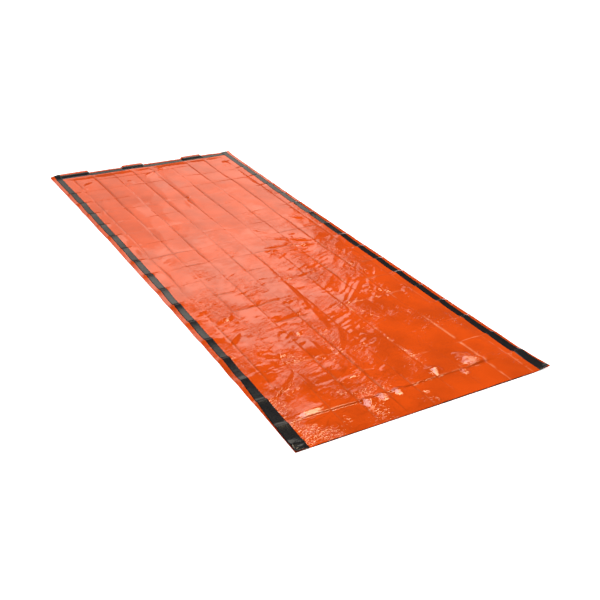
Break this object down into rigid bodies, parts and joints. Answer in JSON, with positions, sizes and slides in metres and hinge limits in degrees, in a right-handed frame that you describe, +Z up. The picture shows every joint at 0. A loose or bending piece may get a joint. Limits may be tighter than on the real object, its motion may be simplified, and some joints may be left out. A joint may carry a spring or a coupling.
{
  "type": "bivy sack",
  "caption": "Emergency bivy sack laid flat: glossy film panels with reflective linings, taped along both sides and the foot, open at the mouth, which folds over.",
  "frame": {"origin": "middle of the underside, on the surface that the sack lies on", "axes": "+X across the sack, +Y from the open mouth to the closed foot, +Z up"},
  "size_m": [0.87, 2.13, 0.012],
  "materials": {
    "orange_film": "glossy creased polyethylene film",
    "silver_lining": "vapour-coated reflective film",
    "black_tape": "glossy film tape",
    "clear_adhesive": "hot-melt strip"
  },
  "bodies": {
    "sack_body": {"lower_film": "orange_film", "lower_lining": "silver_lining", "upper_lining": "silver_lining", "upper_film": "orange_film", "foot_under_tape": "black_tape", "left_under_tape": "black_tape", "right_under_tape": "black_tape", "foot_seam_adhesive": "clear_adhesive", "left_seam_adhesive": "clear_adhesive", "right_seam_adhesive": "clear_adhesive", "foot_upper_tape": "black_tape", "left_upper_tape": "black_tape", "right_upper_tape": "black_tape"},
    "mouth_end": {"lower_film_mouth_end": "orange_film", "lower_lining_mouth_end": "silver_lining", "upper_lining_mouth_end": "silver_lining", "upper_film_mouth_end": "orange_film", "left_under_tape_mouth_end": "black_tape", "right_under_tape_mouth_end": "black_tape", "left_seam_adhesive_mouth_end": "clear_adhesive", "right_seam_adhesive_mouth_end": "clear_adhesive", "left_upper_tape_mouth_end": "black_tape", "right_upper_tape_mouth_end": "black_tape"}
  },
  "joints": [
    {"name": "mouth_fold", "type": "hinge", "parent": "sack_body", "child": "mouth_end", "pos_m": [0, -0.957, 0.0122], "axis": [-1, 0, 0], "range_deg": [0, 180]}
  ]
}
